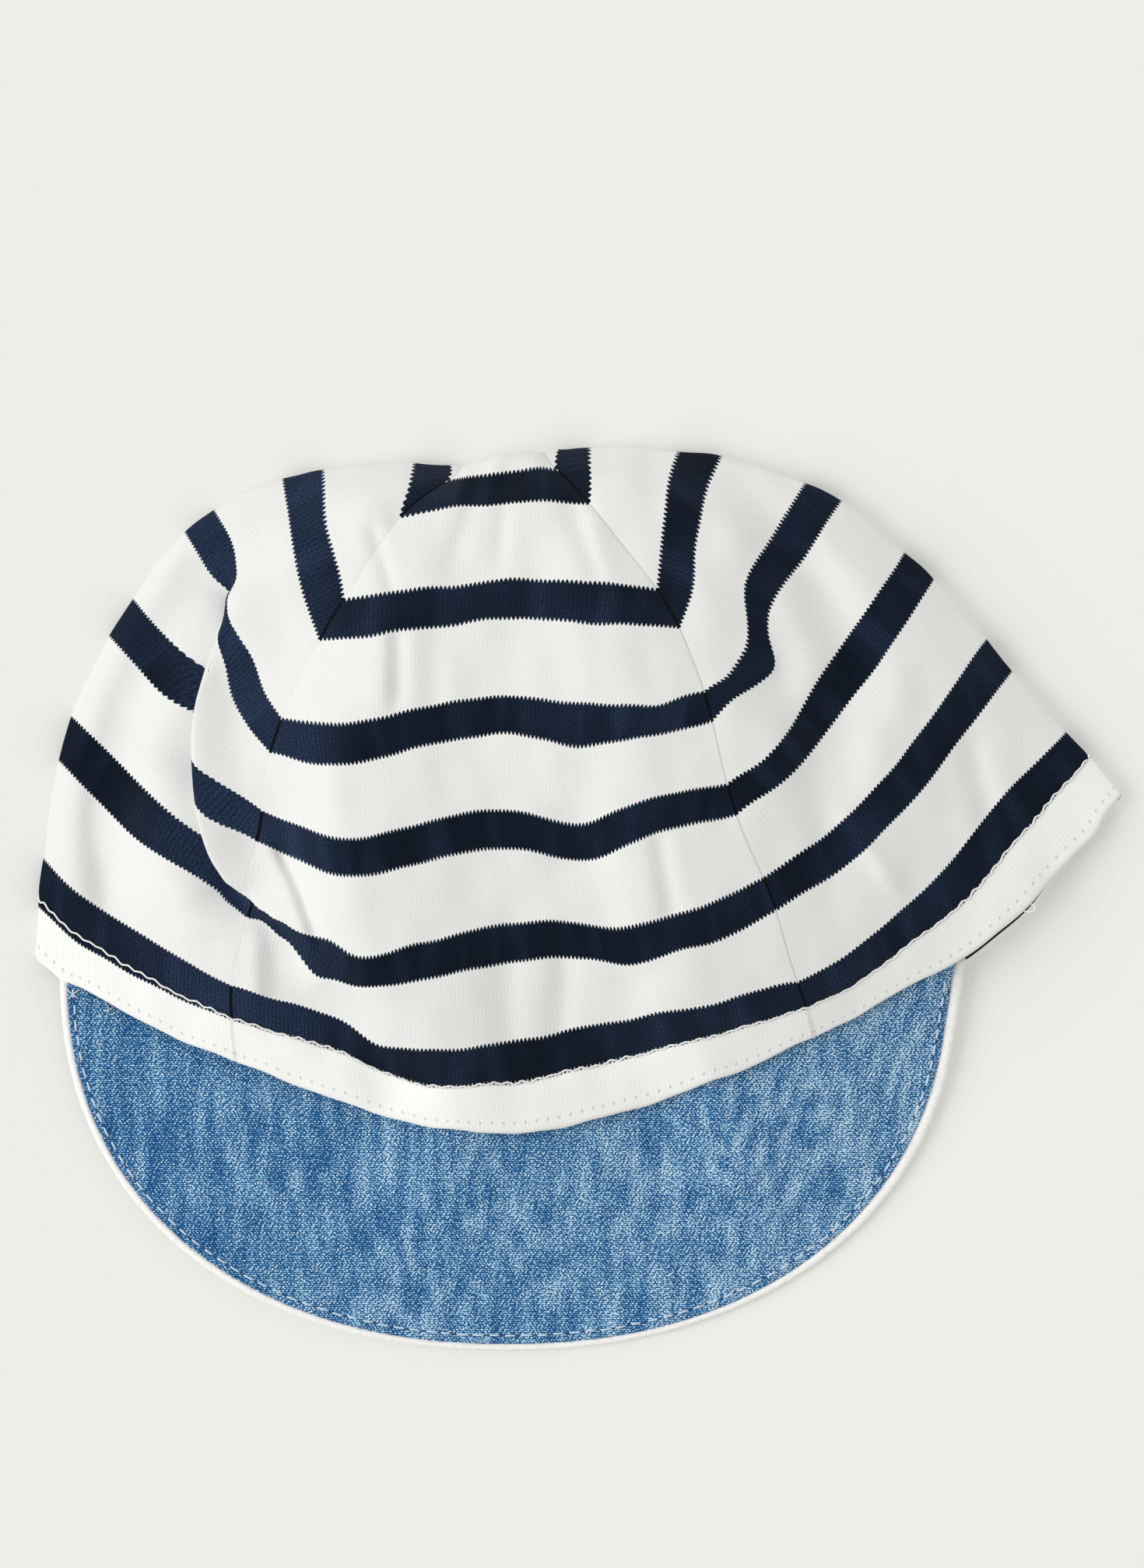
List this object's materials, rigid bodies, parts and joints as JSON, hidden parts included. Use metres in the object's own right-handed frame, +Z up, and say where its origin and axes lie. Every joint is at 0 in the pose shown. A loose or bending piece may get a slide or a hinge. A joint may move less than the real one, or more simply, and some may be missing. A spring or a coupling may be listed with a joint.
{
  "type": "striped jersey peaked cap, lying flat",
  "caption": "Soft child's cap of striped jersey gores with a doubled hem and a chambray peak edged with white piping, lying flat on its back.",
  "frame": {"origin": "the middle of the underside of the cap's bounding box, on the surface that it lies on", "axes": "+X to the wearer's left side as the cap lies, across its flat width; +Y from the peak to the crown's top fold; +Z up from the surface"},
  "size_m": [0.2242, 0.1878, 0.0271],
  "materials": {
    "striped_jersey": "brushed cotton jersey, white with navy stripes",
    "white_jersey": "brushed cotton jersey, white, coverstitched",
    "chambray": "blue and white plain weave cotton",
    "white_piping": "white cotton piping"
  },
  "bodies": {
    "root": {"crown_panel_front": "striped_jersey", "crown_panel_left": "striped_jersey", "crown_panel_right": "striped_jersey", "crown_panel_back": "striped_jersey", "hem_band": "white_jersey", "peak": "chambray", "peak_piping": "white_piping"}
  },
  "joints": []
}
